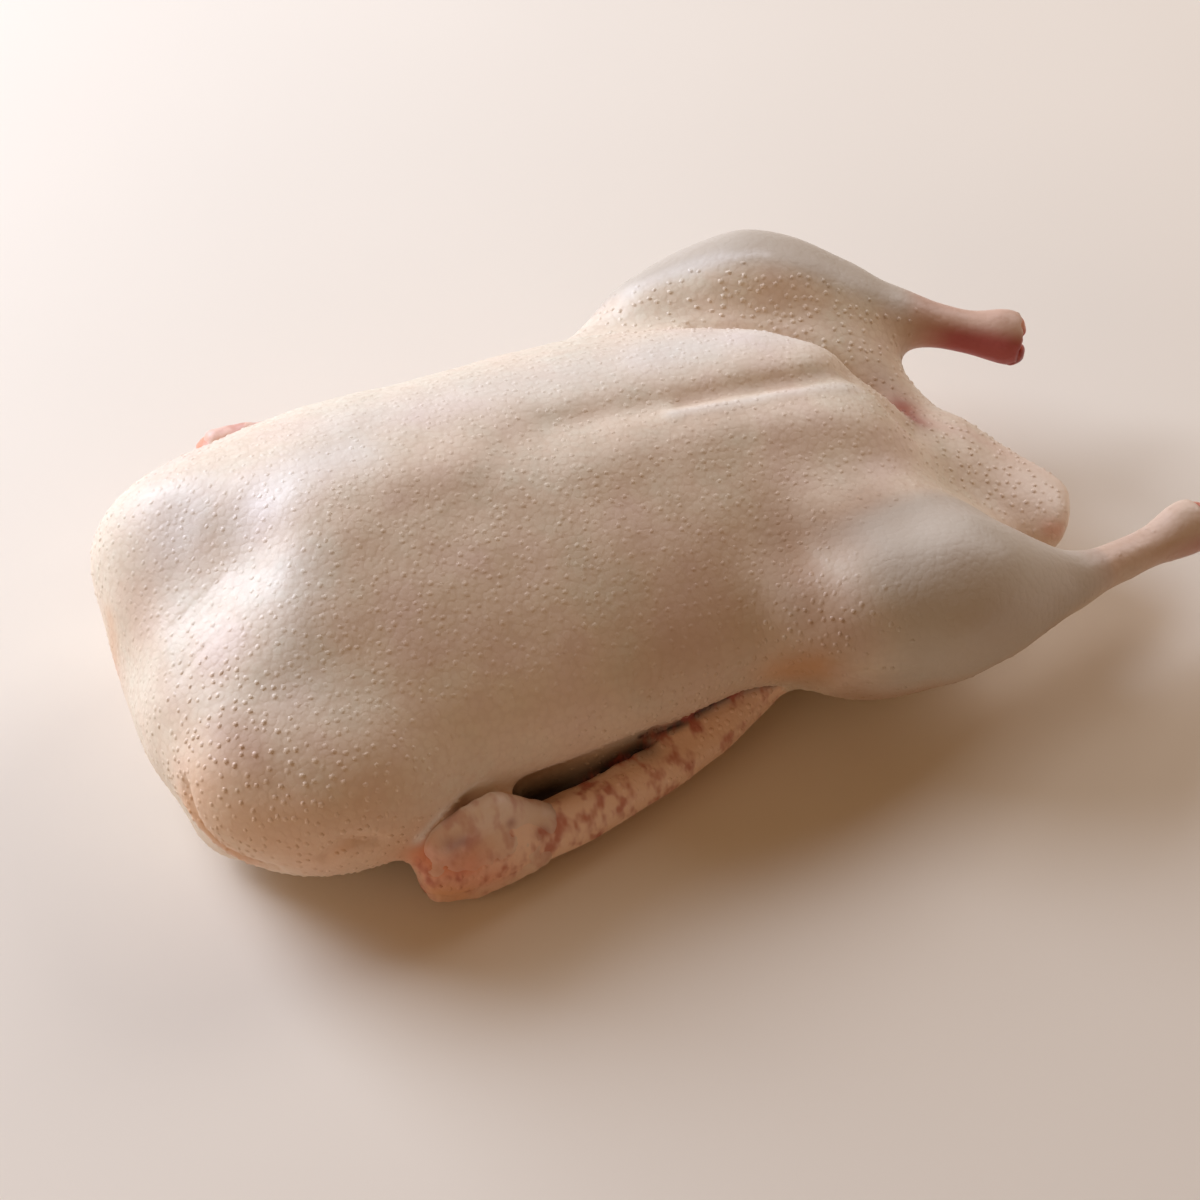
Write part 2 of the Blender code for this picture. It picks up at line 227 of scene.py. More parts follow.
# Patches of other colours, by the mask that they are kept in: a path, its radius and its strength.
PATCHES = {
    "fat": (
        (((-0.1856, 0.015, 0.052), (-0.1856, 0.012, 0.033)), 0.006, 0.45),
        (((0.016, -0.082, 0.043), (0.027, -0.089, 0.050)), 0.007, 0.50),
        (((-0.113, -0.106, 0.014), (-0.106, -0.107, 0.010)), 0.0055, 0.75),
        (((-0.176, -0.070, 0.050), (-0.152, -0.092, 0.044), (-0.128, -0.096, 0.040)), 0.020, 0.52),
        (((-0.181, -0.064, 0.040), (-0.174, -0.078, 0.032)), 0.012, 0.75),
    ),
    # Painted shade, mostly: these patches darken places in shade. They cover the hollow at the neck end,
    # the folds there, the near side under the keel and the keel's groove. They also cover the near thigh's
    # front and top, the flank in front of it and the drumstick's underside by the floor. The patch at the
    # tail's notch is the skin's own red-brown.
    "brown_and_painted_shade": (
        (((-0.1539, 0.0137, 0.0896), (-0.178, 0.004, 0.065)), 0.013, 0.55),
        (((-0.1402, -0.0991, 0.0455),), 0.004, 0.35),
        (((-0.1663, -0.0642, 0.0758), (-0.1626, -0.0798, 0.068)), 0.008, 0.40),
        (((0.101, 0.020, 0.055), (0.105, 0.012, 0.052)), 0.009, 1.00),
        (((0.024, -0.086, 0.045), (0.036, -0.085, 0.062)), 0.015, 0.90),
        (((0.031, -0.056, 0.079), (0.029, -0.068, 0.074), (0.029, -0.080, 0.064)), 0.013, 1.00),
        (((-0.020, -0.072, 0.064), (0.010, -0.070, 0.066), (0.018, -0.078, 0.055)), 0.025, 0.50),
        (((-0.090, -0.012, 0.103), (-0.045, -0.009, 0.100), (0.025, -0.011, 0.092)), 0.008, 0.30),
        (((0.040, -0.100, 0.030), (0.080, -0.105, 0.028), (0.112, -0.095, 0.030)), 0.015, 1.00),
        (((0.070, -0.064, 0.079), (0.092, -0.063, 0.072), (0.115, -0.070, 0.058)), 0.006, 0.45),
        (((0.040, -0.060, 0.081), (0.052, -0.062, 0.081), (0.062, -0.056, 0.080)), 0.015, 1.00),
        (((0.015, 0.0019, 0.0947), (0.059, 0.0022, 0.0894), (0.080, 0.0065, 0.083)), 0.003, 0.40),
    ),
    "salmon": (
        (((-0.116, -0.103, 0.030), (-0.110, -0.105, 0.027), (-0.103, -0.106, 0.025)), 0.0085, 0.95),
        (((-0.113, -0.107, 0.020), (-0.095, -0.107, 0.016)), 0.009, 0.55),
        (((-0.130, 0.098, 0.035), (-0.118, 0.098, 0.038)), 0.012, 0.90),
        (((0.1335, -0.050, 0.0375), (0.136, -0.0512, 0.0365)), 0.0035, 0.40),
    ),
    "rust": (
        (((-0.108, -0.1035, 0.034), (-0.103, -0.103, 0.033)), 0.0028, 0.85),
        (((-0.086, -0.098, 0.030),), 0.002, 0.80),
        (((-0.077, -0.101, 0.023), (-0.074, -0.101, 0.024)), 0.0024, 0.70),
        (((0.104, 0.010, 0.053), (0.101, -0.002, 0.056)), 0.0058, 0.85),
    ),
    # Painted light, mostly: painted highlights on the raised lip by the keel, the far thigh's upper edge,
    # the hollow at the neck end, the near arm of the wishbone, the keel's front and a lit band along the
    # far breast. The patches at the wrists' top edges are pale fat.
    "white": (
        (((-0.117, -0.097, 0.037), (-0.108, -0.094, 0.040)), 0.003, 0.90),
        (((-0.108, -0.094, 0.040), (-0.097, -0.093, 0.040), (-0.089, -0.091, 0.040)), 0.003, 0.75),
        (((0.010, -0.005, 0.0948), (0.040, -0.0056, 0.0915), (0.078, -0.003, 0.083)), 0.0026, 0.45),
        (((0.026, 0.076, 0.080), (0.042, 0.076, 0.083), (0.060, 0.073, 0.085)), 0.004, 0.50),
        (((0.060, 0.073, 0.085), (0.076, 0.070, 0.085)), 0.002, 0.60),
        (((-0.125, 0.096, 0.039),), 0.0025, 0.80),
        (((-0.158, 0.012, 0.088),), 0.016, 0.55),
        (((-0.129, -0.026, 0.096), (-0.1365, -0.0474, 0.0865), (-0.142, -0.058, 0.079)), 0.011, 0.40),
        (((-0.100, 0.010, 0.103), (-0.119, 0.0064, 0.1045), (-0.140, 0.000, 0.095)), 0.012, 0.60),
        (((-0.100, 0.024, 0.100), (-0.045, 0.024, 0.097), (0.010, 0.024, 0.091)), 0.014, 0.40),
        (((0.010, 0.024, 0.091), (0.065, 0.026, 0.083)), 0.012, 0.65),
    ),
    # Painted shade: near-black laid in the slits between the wings and the body, along the near wing's
    # crease and by the near wrist, where the gaps lie in deep shadow.
    "painted_gap_shade": (
        (((-0.081, -0.082, 0.022), (-0.075, -0.081, 0.016)), 0.0045, 0.85),
        (((-0.072, -0.080, 0.014), (-0.0489, -0.080, 0.017), (-0.030, -0.078, 0.020)), 0.0058, 1.00),
        (((-0.030, -0.078, 0.025), (-0.0087, -0.0756, 0.0266), (0.019, -0.0715, 0.0275)), 0.0018, 1.00),
        (((-0.090, 0.066, 0.016), (-0.040, 0.065, 0.015), (0.000, 0.067, 0.022)), 0.005, 0.90),
    ),
    "pink": (
        (((-0.150, -0.093, 0.040), (-0.090, -0.090, 0.040), (0.000, -0.082, 0.040)), 0.024, 0.40),
        (((0.106, -0.002, 0.056), (0.128, -0.012, 0.046), (0.143, -0.024, 0.039)), 0.005, 0.55),
        (((0.0865, -0.1021, 0.060), (0.110, -0.096, 0.052)), 0.012, 0.55),
        (((-0.150, 0.080, 0.040), (-0.030, 0.088, 0.040), (0.020, 0.085, 0.040)), 0.022, 0.45),
        (((-0.110, 0.000, 0.000), (0.060, -0.010, 0.000)), 0.055, 0.45),
    ),
}
# The thick, pitted skin of the left thigh ends along this line, from front to rear, seen from above.
LEFT_THIGH_LINE = ((0.020, 0.079), (0.052, 0.072), (0.082, 0.062), (0.102, 0.053), (0.122, 0.044))
LINE_SOFTNESS = 0.006

# The way that the shanks' pale upper side faces; the flesh is reddest on the side away from it.
UPPER_SIDE = (0.27, 0.68, 0.68)

# The skin's mesh is evened out on squares of this size first, and a little once more at the end.
FIRST_VOXEL = 0.0020
LAST_ROUNDS = 3
# Packed points closer than this are one point.
MERGE_DISTANCE = 1e-6
# The soft lumps of fat: their size, their seed, and the heights that they fade in between.
FAT_LUMP_SIZE = 0.016
FAT_LUMP_SEED = 1
FAT_LUMP_FADE = (0.004, 0.014)
# How far each next seed moves the random lumps, in lumps.
SEED_STEPS = (7.3, 3.1, 5.7)
# How often the skin is evened out to find its hollows, and how deep a hollow is where the painted shade in
# it begins and where it is full.
HOLLOW_ROUNDS = 14
HOLLOW_DEPTHS = (0.00025, 0.0014)
# How high the follicles are on plain skin, as a share of the goose-bumped skin's.
PLAIN_SKIN_SHARE = 0.40

# Goose-bumped skin, on the thighs, beside the tail, at the neck end and by the wings: a path and
# its radius.
GOOSE_BUMPS = (
    (((0.030, 0.060, 0.078), (0.080, 0.055, 0.078), (0.110, 0.040, 0.060)), 0.026),
    (((0.100, -0.010, 0.064), (0.130, -0.020, 0.045)), 0.022),
    (((-0.175, -0.060, 0.060), (-0.160, -0.090, 0.040), (-0.120, -0.098, 0.040)), 0.030),
    (((-0.040, -0.085, 0.030), (0.010, -0.085, 0.040), (0.040, -0.095, 0.050)), 0.022),
    (((-0.170, 0.060, 0.060), (-0.130, 0.080, 0.060)), 0.030),
)
# The least and the most that a follicle's two widths and its height are multiplied by, and the
# most follicles on a square metre.
FOLLICLE_LEAST = (0.75, 0.75, 0.5)
FOLLICLE_MOST = (1.15, 1.15, 1.2)
FOLLICLE_DENSITY = 90000.0
# A follicle's shape: the radius and the height of its rim, which lies under the skin, and of its
# shoulder, as shares of its whole radius and height.
DOME_RIM = (1.0, -0.30)
DOME_SHOULDER = (0.55, 0.70)
DOME_CORNERS = 5
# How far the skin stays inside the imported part's box.
BOX_MARGIN = 0.0003

# The skin's edge at a cut shank: how far back it lies, how ragged it is, the size and the seed of
# its rags, and how far it reaches round the end, in the end's radii.
SKIN_EDGE = 0.0045
RAGGED = 0.0016
RAG_SIZE = 0.004
RAG_SEED = 5
END_REACH = 2.2
# The cut shanks. Each knob is a share of the limb's end radius: back along the limb, across, up,
# then its own radius.
HOCK_KNOBS = (
    (0.60, -0.10, 0.42, 0.50),
    (0.50, -0.32, -0.34, 0.46),
    (0.50, 0.34, -0.30, 0.48),
    (1.10, 0.00, 0.00, 0.78),
)
# A wing's cut wrist, which stands proud of the skin: lines of rounded flesh, each by its stations,
# back along the limb from its end, outwards from the body, up, and then the radius.
WRIST_LINES = (
    (
        (0.008, 0.0037, 0.0136, 0.0062),
        (0.0193, 0.0017, 0.0168, 0.006),
        (0.0283, -0.0008, 0.018, 0.0056),
        (0.0378, -0.0023, 0.008, 0.0066),
        (0.0443, -0.0008, 0.001, 0.0088),
    ),
    (
        (0.0073, 0.0037, 0.0045, 0.007),
        (0.0178, 0.0022, 0.005, 0.010),
        (0.0278, 0.0017, 0.0045, 0.0104),
        (0.0398, 0.0007, -0.002, 0.010),
    ),
    (
        (0.007, 0.006, -0.0052, 0.0058),
        (0.018, 0.0037, -0.008, 0.008),
        (0.0308, 0.0017, -0.005, 0.0097),
        (0.0398, 0.0007, -0.002, 0.010),
    ),
)
# The left wrist's size beside the right one's, and the balls from one station to the next.
LEFT_WRIST_SIZE = 0.75
WRIST_STEPS = 4
# How much of the wing's red blotches a wrist has.
WRIST_REDNESS = 0.5
# The mesh size of wrists and knobs, and how often each is evened out.
WRIST_VOXEL = 0.0009
WRIST_ROUNDS = 9
KNOB_VOXEL = 0.0006
KNOB_ROUNDS = 4
# The lumps on wrists and knobs: height, size, seed, and the share of the height taken off again.
KNOB_LUMP = 0.0005
KNOB_LUMP_SIZE = 0.0035
KNOB_LUMP_SEED = 3
KNOB_LUMP_SINK = 0.4

# The camera, from the photograph: where it stands, which way it looks and its lens.
CAMERA_PLACE = (-0.32918, -0.79382, 0.92550)
CAMERA_LOOK = (0.25106, 0.63411, -0.73135)
CAMERA_LENS = 106.875
SENSOR_WIDTH = 36.0

# How far the floor lies under the duck.
FLOOR_GAP = 0.0002
# The lights: name, place, size, share of the main light's power, and colour.
LIGHTS = (
    ("key_light", (-0.85, 1.05, 0.80), 1.0, 1.0, "#DDE9FF"),
    ("back_light", (1.15, 0.60, 0.95), 0.9, 0.26, "#F4F2F4"),
    ("side_light", (-1.20, -0.60, 0.60), 0.8, 0.05, "#FFE4C8"),
)
SURROUND_COLOUR = "#FFC890"


def linear(code):
    """The linear colour of an sRGB hex value."""
    channels = [int(code[k : k + 2], 16) / 255 for k in (1, 3, 5)]
    return tuple(c / 12.92 if c <= 0.04045 else ((c + 0.055) / 1.055) ** 2.4 for c in channels)


def linked(name, data):
    """An object for this data, linked to the scene."""
    obj = bpy.data.objects.new(name, data)
    bpy.context.scene.collection.objects.link(obj)
    return obj


def baked(obj):
    """Makes the object's modifiers part of its mesh."""
    bpy.context.view_layer.update()
    graph = bpy.context.evaluated_depsgraph_get()
    mesh = bpy.data.meshes.new_from_object(obj.evaluated_get(graph))
    obj.modifiers.clear()
    obj.data = mesh


def remeshed(obj, voxel):
    """Gives the object an even mesh of small squares."""
    remesh = obj.modifiers.new("remesh", "REMESH")
    remesh.mode = "VOXEL"
    remesh.voxel_size = voxel
    baked(obj)


def smooth_faces(obj):
    """Shades the faces smoothly."""
    obj.data.polygons.foreach_set("use_smooth", np.ones(len(obj.data.polygons), bool))


def points_of(obj):
    """The mesh's points as an array."""
    points = np.empty(len(obj.data.vertices) * 3)
    obj.data.vertices.foreach_get("co", points)
    return points.reshape(-1, 3)


def normals_of(obj):
    """The mesh's outward directions at its points."""
    normals = np.empty(len(obj.data.vertices) * 3)
    obj.data.vertices.foreach_get("normal", normals)
    return normals.reshape(-1, 3)


def put_points(obj, points):
    """Moves the mesh's points."""
    obj.data.vertices.foreach_set("co", points.ravel())
    obj.data.update()


def evened(obj, values, rounds):
    """The values at the mesh's points, evened out: each round goes halfway to the neighbours' mean."""
    ends = np.empty(len(obj.data.edges) * 2, int)
    obj.data.edges.foreach_get("vertices", ends)
    a, b = ends.reshape(-1, 2).T
    count = np.bincount(ends, minlength=len(values))
    values = values.copy()
    for _ in range(rounds):
        for column in range(values.shape[1]):
            value = values[:, column]
            total = np.bincount(a, value[b], len(value)) + np.bincount(b, value[a], len(value))
            values[:, column] = (value + total / count) / 2
    return values


def eased(low, high, value):
    """0 up to low and 1 from high on, with a smooth rise between them; low may be the higher one."""
    t = np.clip((value - low) / (high - low), 0, 1)
    return t * t * (3 - 2 * t)


def distance_to(points, path):
    """How far each point is from a line through the path's points."""
    if len(path) == 1:
        return np.linalg.norm(points - path[0], axis=1)
    nearest = np.full(len(points), np.inf)
    for start, end in zip(path, path[1:]):
        run = end - start
        share = np.clip((points - start) @ run / (run @ run), 0, 1)
        nearest = np.minimum(nearest, np.linalg.norm(points - start - share[:, None] * run, axis=1))
    return nearest


def laid_on(points, path):
    """The path with steps put in and each one moved to the nearest point of the surface."""
    path = np.array(path, float)
    at = np.linspace(0, len(path) - 1, PATH_STEPS * (len(path) - 1) + 1)
    steps = np.stack([np.interp(at, np.arange(len(path)), path[:, axis]) for axis in range(3)], axis=1)
    nearest = [int(np.argmin(np.linalg.norm(points - step, axis=1))) for step in steps]
    laid = points[list(dict.fromkeys(nearest))]
    for _ in range(PATH_ROUNDS):
        laid[1:-1] = (laid[:-2] + 2 * laid[1:-1] + laid[2:]) / 4
    return laid


def touch(points, path, radius):
    """How strongly a stroke along the path reaches each point: 1 on it, fading out at the radius."""
    return np.exp(-((distance_to(points, laid_on(points, path)) / radius) ** 2))


def limb_reach(points, stations):
    """For each point, its distance from the limb's middle in the limb's own radii, and how far along
    the limb it is, in metres."""
    reach = np.full(len(points), np.inf)
    along = np.zeros(len(points))
    done = 0.0
    for (start, thick), (end, thin) in zip(stations, stations[1:]):
        start, end = np.array(start), np.array(end)
        run = end - start
        length = np.linalg.norm(run)
        share = np.clip((points - start) @ run / length**2, 0, 1)
        off = points - start - share[:, None] * run
        here = np.linalg.norm(off, axis=1) / (thick + share * (thin - thick))
        along = np.where(here < reach, done + share * length, along)
        reach = np.minimum(reach, here)
        done += length
    return reach, along


def underneath(points, stations):
    """How far each point lies below the limb's straight middle line, on the side that faces down
    and to the duck's right."""
    start, end = np.array(stations[0][0]), np.array(stations[-1][0])
    run = end - start
    share = (points - start) @ run / (run @ run)
    return -(points - start - share[:, None] * run) @ np.array(UPPER_SIDE)


def patch_zones(points):
    """For each patch's mask, how much of it each point has."""
    zones = {}
    for mask, patches in PATCHES.items():
        zones[mask] = np.zeros(len(points))
        for path, radius, strength in patches:
            zones[mask] = np.maximum(zones[mask], strength * touch(points, path, radius))
    return zones


def slit_cutter(stations):
    """A closed tube along a slit, narrow across and deep in height."""
    path = np.array([place for place, _, _ in stations])
    ways = np.gradient(path, axis=0)
    ways /= np.linalg.norm(ways, axis=1)[:, None]
    sides = np.cross(ways, (0.0, 0.0, 1.0))
    sides /= np.linalg.norm(sides, axis=1)[:, None]
    deeps = np.cross(sides, ways)
    turns = np.linspace(0, 2 * np.pi, SLIT_CORNERS, endpoint=False)
    bm = bmesh.new()
    rings = []
    for (place, width, depth), side, deep in zip(stations, sides, deeps):
        ring = [place + width * np.cos(t) * side + depth * np.sin(t) * deep for t in turns]
        rings.append([bm.verts.new(corner) for corner in ring])
    for ring, following in zip(rings, rings[1:]):
        for j in range(SLIT_CORNERS):
            k = (j + 1) % SLIT_CORNERS
            bm.faces.new((ring[j], ring[k], following[k], following[j]))
    bm.faces.new(reversed(rings[0]))
    bm.faces.new(rings[-1])
    bmesh.ops.recalc_face_normals(bm, faces=bm.faces)
    mesh = bpy.data.meshes.new("slit")
    bm.to_mesh(mesh)
    bm.free()
    return linked("slit", mesh)


def lumps(points, size, seed):
    """Soft random unevenness between about -1 and 1, with lumps of this size."""
    offset = Vector([seed * step for step in SEED_STEPS])
    return np.array([noise.noise(Vector(p) / size + offset) for p in points])


def put_attribute(obj, name, values):
    """Keeps a value for each point of the mesh under this name."""
    attribute = obj.data.attributes.new(name, "FLOAT", "POINT")
    attribute.data.foreach_set("value", np.ascontiguousarray(values, np.float32))


def node(tree, kind, inputs=None, stops=None, **settings):
    """Adds a node with its settings. An input is linked where it is given a socket, else it is set.
    The stops of a colour ramp, each a place and a colour, take the place of its first ones."""
    made = tree.nodes.new(kind)
    for name, value in settings.items():
        setattr(made, name, value)
    for socket, value in (inputs or {}).items():
        if isinstance(value, bpy.types.NodeSocket):
            tree.links.new(value, made.inputs[socket])
        else:
            made.inputs[socket].default_value = value
    if stops:
        ramp = made.color_ramp.elements
        for place, colour in stops:
            ramp.new(place).color = (*colour, 1.0)
        ramp.remove(ramp[0])
        ramp.remove(ramp[-1])
    return made


# The Mix node's own numbers for its colour sockets.
MIX_FACTOR, MIX_A, MIX_B, MIX_RESULT = 0, 6, 7, 2


def times(tree, one, other):
    """Two values multiplied, and kept between 0 and 1."""
    made = node(tree, "ShaderNodeMath", {0: one, 1: other}, operation="MULTIPLY", use_clamp=True)
    return made.outputs["Value"]


def laid_over(tree, share, under, code):
    """A colour with this share of another one over it."""
    over = linear(code) + (1.0,)
    made = node(tree, "ShaderNodeMix", {MIX_FACTOR: share, MIX_A: under, MIX_B: over}, data_type="RGBA")
    return made.outputs[MIX_RESULT]


def noise_of(tree, place, size, detail):
    """A soft random value whose patches have this size."""
    made = node(tree, "ShaderNodeTexNoise", {"Vector": place, "Scale": 1 / size, "Detail": detail})
    return made.outputs["Fac"]


def mask_of(tree, name):
    """The value that each point keeps under this name."""
    return node(tree, "ShaderNodeAttribute", attribute_name=name).outputs["Fac"]


def new_material(name):
    """A material with its node tree and its shader."""
    material = bpy.data.materials.new(name)
    material.use_nodes = True
    return material, material.node_tree, material.node_tree.nodes["Principled BSDF"]


# How dark the edges of the skin's cells are, and how deep.
CELL_SHADE = 0.16
# Colours laid over the skin, lowest first: the mask, the colour and how much of it shows.
SKIN_LAYERS = (
    ("pink", "#E8BFB0", 0.60),
    # Painted shade, mostly, with the skin's own red-brown at the tail's notch.
    ("brown_and_painted_shade", "#A87C58", 0.65),
    ("lilac", "#C2B6A6", 0.85),
    ("mauve", "#CEA690", 0.85),
    ("crimson", "#B0464A", 0.90),
    ("wing", "#F8D2B6", 0.88),
    ("tail", "#EFD8C4", 0.70),
    ("salmon", "#DE7448", 0.85),
    ("fat", "#DC9A5C", 0.80),
    # Painted shade in the skin's hollows.
    ("painted_crease_shade", "#B07A62", 0.50),
    ("rust", "#9A3E2C", 0.90),
    # Painted highlights, mostly, with pale fat at the wrists.
    ("white", "#F6F0E8", 0.80),
    # Painted shade in the slits and gaps.
    ("painted_gap_shade", "#1E0806", 1.00),
)


def raw_skin(base):
    """Raw duck skin, plucked and scalded: a thin moist skin over pale fat, which gives it a creamy,
    slightly green white. The gloss is soft and broken up by the follicles."""
    material, tree, shader = new_material("raw_duck_skin")
    place = node(tree, "ShaderNodeTexCoord").outputs["Object"]

    # Blotches 30 mm wide, cream to faintly green and pink, then mottling of 5 mm.
    blotches = node(
        tree,
        "ShaderNodeValToRGB",
        {"Fac": noise_of(tree, place, 0.030, 2.0)},
        stops=((0.32, linear("#EAD2C2")), (0.47, base), (0.62, linear("#E9E2CC"))),
    )
    colour = laid_over(tree, noise_of(tree, place, 0.005, 3.0), blotches.outputs["Color"], "#E7D1B9")

    # Cells of skin between the follicles, 2.6 mm across, faintly darker towards their edges.
    cells = node(tree, "ShaderNodeTexVoronoi", {"Vector": place, "Scale": 1 / 0.0026, "Randomness": 0.8})
    edges = node(
        tree,
        "ShaderNodeMapRange",
        {"Value": cells.outputs["Distance"], "From Min": 0.34, "From Max": 0.78},
        interpolation_type="SMOOTHSTEP",
    )
    colour = laid_over(tree, times(tree, edges.outputs["Result"], CELL_SHADE), colour, "#C2A384")

    for mask, code, strength in SKIN_LAYERS:
        colour = laid_over(tree, times(tree, mask_of(tree, mask), strength), colour, code)

    # Red blotches on the wings, 5 mm apart, where feathers were pulled, soft at their edges.
    wing_places = node(
        tree,
        "ShaderNodeMapping",
        {"Vector": place, "Rotation": (0.0, 0.0, 0.3), "Scale": (1.0, 0.6, 0.6)},
    )
    flecks = node(
        tree,
        "ShaderNodeMapRange",
        {
            "Value": noise_of(tree, wing_places.outputs["Vector"], 0.005, 2.0),
            "From Min": 0.46,
            "From Max": 0.70,
            "To Max": 0.75,
        },
        interpolation_type="SMOOTHSTEP",
    )
    on_wing = times(tree, flecks.outputs["Result"], mask_of(tree, "wing"))
    colour = laid_over(tree, on_wing, colour, "#B4503C")
    tree.links.new(colour, shader.inputs["Base Color"])

    # Fine wrinkles of 1.2 mm in the skin itself, under the follicles' own relief.
    wrinkles = noise_of(tree, place, 0.0012, 2.0)
    fine = node(tree, "ShaderNodeBump", {"Height": wrinkles, "Strength": 0.20, "Distance": 0.0003})
    pits = node(
        tree,
        "ShaderNodeBump",
        {
            "Height": edges.outputs["Result"],
            "Strength": CELL_SHADE,
            "Distance": 0.0004,
            "Normal": fine.outputs["Normal"],
        },
        invert=True,
    )
    tree.links.new(pits.outputs["Normal"], shader.inputs["Normal"])

    # Moist and drier places, 12 mm wide.
    moist = noise_of(tree, place, 0.012, 3.0)
    gloss = node(
        tree,
        "ShaderNodeMapRange",
        {"Value": moist, "From Min": 0.3, "From Max": 0.7, "To Min": 0.43, "To Max": 0.56},
    )
    tree.links.new(gloss.outputs["Result"], shader.inputs["Roughness"])
    shader.inputs["IOR"].default_value = 1.45
    shader.inputs["Coat Weight"].default_value = 0.12
    shader.inputs["Coat Roughness"].default_value = 0.30
    return material


def raw_joint(flesh, pale):
    """Raw joint end: bluish-white cartilage and red flesh, both wet, so the gloss is sharper than
    the skin's."""
    material, tree, shader = new_material("raw_joint_cartilage_and_flesh")
    place = node(tree, "ShaderNodeTexCoord").outputs["Object"]
    strands = noise_of(tree, place, 0.0025, 4.0)
    share = mask_of(tree, "pale")
    uneven = node(tree, "ShaderNodeMath", {0: strands, 1: 0.6, 2: share}, operation="MULTIPLY_ADD")
    stained = node(
        tree,
        "ShaderNodeValToRGB",
        {"Fac": uneven.outputs["Value"]},
        stops=((0.22, linear("#8E2E2C")), (0.45, flesh), (0.85, linear("#DDA084")), (1.0, pale)),
    )
    tree.links.new(stained.outputs["Color"], shader.inputs["Base Color"])
    grain = noise_of(tree, place, 0.0009, 2.0)
    bump = node(tree, "ShaderNodeBump", {"Height": grain, "Strength": 0.25, "Distance": 0.0002})
    tree.links.new(bump.outputs["Normal"], shader.inputs["Normal"])
    shader.inputs["Roughness"].default_value = 0.32
    shader.inputs["IOR"].default_value = 1.40
    shader.inputs["Subsurface Weight"].default_value = 0.25
    shader.inputs["Subsurface Radius"].default_value = (1.0, 0.25, 0.15)
    shader.inputs["Subsurface Scale"].default_value = 0.002
    return material


def pale_floor(colour):
    """Matt paint, so that the floor takes the shadow and no gloss."""
    material, tree, shader = new_material("matt_paint")
    place = node(tree, "ShaderNodeTexCoord").outputs["Object"]
    tone = noise_of(tree, place, 0.25, 2.0)
    darker = tuple(0.97 * c for c in colour)
    shade = node(tree, "ShaderNodeValToRGB", {"Fac": tone}, stops=((0.3, darker), (0.7, colour)))
    tree.links.new(shade.outputs["Color"], shader.inputs["Base Color"])
    shader.inputs["Roughness"].default_value = 0.8
    return material


def sides_of(way):
    """The two directions across a limb that runs this way: level, and upward."""
    across = np.cross(way, (0.0, 0.0, 1.0))
    across /= np.linalg.norm(across)
    return across, np.cross(across, way)


def end_of(stations):
    """A limb's cut end: its middle, the way the limb points there, and its radius."""
    (before, _), (end, radius) = stations[-2:]
    end = np.array(end)
    way = end - np.array(before)
    return end, way / np.linalg.norm(way), radius


def retract(points, stations):
    """Draws the skin back from a limb's cut end, to a ragged edge, so that the joint stands out."""
    end, way, radius = end_of(stations)
    near = np.linalg.norm(points - end, axis=1) < END_REACH * radius
    depth = (points[near] - end) @ way
    edge = -SKIN_EDGE + RAGGED * lumps(points[near], RAG_SIZE, RAG_SEED)
    points[near] -= np.maximum(depth - edge, 0)[:, None] * way


def melted(name, balls, voxel, rounds):
    """One closed lumpy mesh of the balls, each a middle and a radius, melted together."""
    bm = bmesh.new()
    for middle, radius in balls:
        place = Matrix.Translation(Vector(middle)) @ Matrix.Scale(radius, 4)
        bmesh.ops.create_icosphere(bm, subdivisions=3, radius=1.0, matrix=place)
    mesh = bpy.data.meshes.new(name)
    bm.to_mesh(mesh)
    bm.free()
    obj = linked(name, mesh)
    remeshed(obj, voxel)
    put_points(obj, evened(obj, points_of(obj), rounds))
    points = points_of(obj)
    lift = KNOB_LUMP * (lumps(points, KNOB_LUMP_SIZE, KNOB_LUMP_SEED) - KNOB_LUMP_SINK)
    put_points(obj, points + normals_of(obj) * lift[:, None])
    smooth_faces(obj)
    return obj


def colour_setting(name, description, code):
    """A setting for a colour, first set to this sRGB hex value."""
    return FloatVectorProperty(
        name=name, description=description, subtype="COLOR", default=linear(code), min=0.0, max=1.0
    )


def length_setting(name, description, length, least):
    """A setting for a length, first set to this one and never below the least."""
    return FloatProperty(name=name, description=description, default=length, min=least, unit="LENGTH")


class SkinSettings(bpy.types.PropertyGroup):
    voxel: length_setting("Mesh size", "Size of the squares of the skin's mesh", 0.0013, 0.001)
    rounds: IntProperty(
        name="Smoothing",
        description="How often the skin's mesh is evened out before its folds are pressed in",
        default=5,
        min=0,
    )
    unevenness: length_setting("Unevenness", "Height of the soft lumps of fat", 0.0005, 0.0)
    colour: colour_setting("Skin colour", "Colour of the pale skin between its blotches", "#F0E0C9")


class FollicleSettings(bpy.types.PropertyGroup):
    spacing: length_setting("Spacing", "Least distance between two follicles", 0.0024, 0.001)
    radius: length_setting("Radius", "Radius of the raised skin round a follicle", 0.00125, 0.0001)
    height: length_setting("Height", "Height of the raised skin where it is highest", 0.00042, 0.0)
    seed: IntProperty(name="Seed", description="Seed of the follicles' places", default=7, min=0)


class JointSettings(bpy.types.PropertyGroup):
    flesh: colour_setting("Flesh colour", "Colour of the flesh at a cut joint", "#C25A45")
    cartilage: colour_setting("Cartilage colour", "Colour of the cartilage at a cut joint", "#EAD3C8")


class StageSettings(bpy.types.PropertyGroup):
    floor_size: length_setting("Floor size", "Side of the square floor", 4.0, 1.0)
    floor_colour: colour_setting("Floor colour", "Colour of the floor", "#F0E6D6")
    key_power: FloatProperty(
        name="Main light",
        description="Power of the wide soft light on the duck's left",
        default=35.0,
        min=0.0,
        unit="POWER",
    )
    ambient: FloatProperty(
        name="Ambient light",
        description="Strength of the even light from all round",
        default=0.200,
        min=0.0,
    )


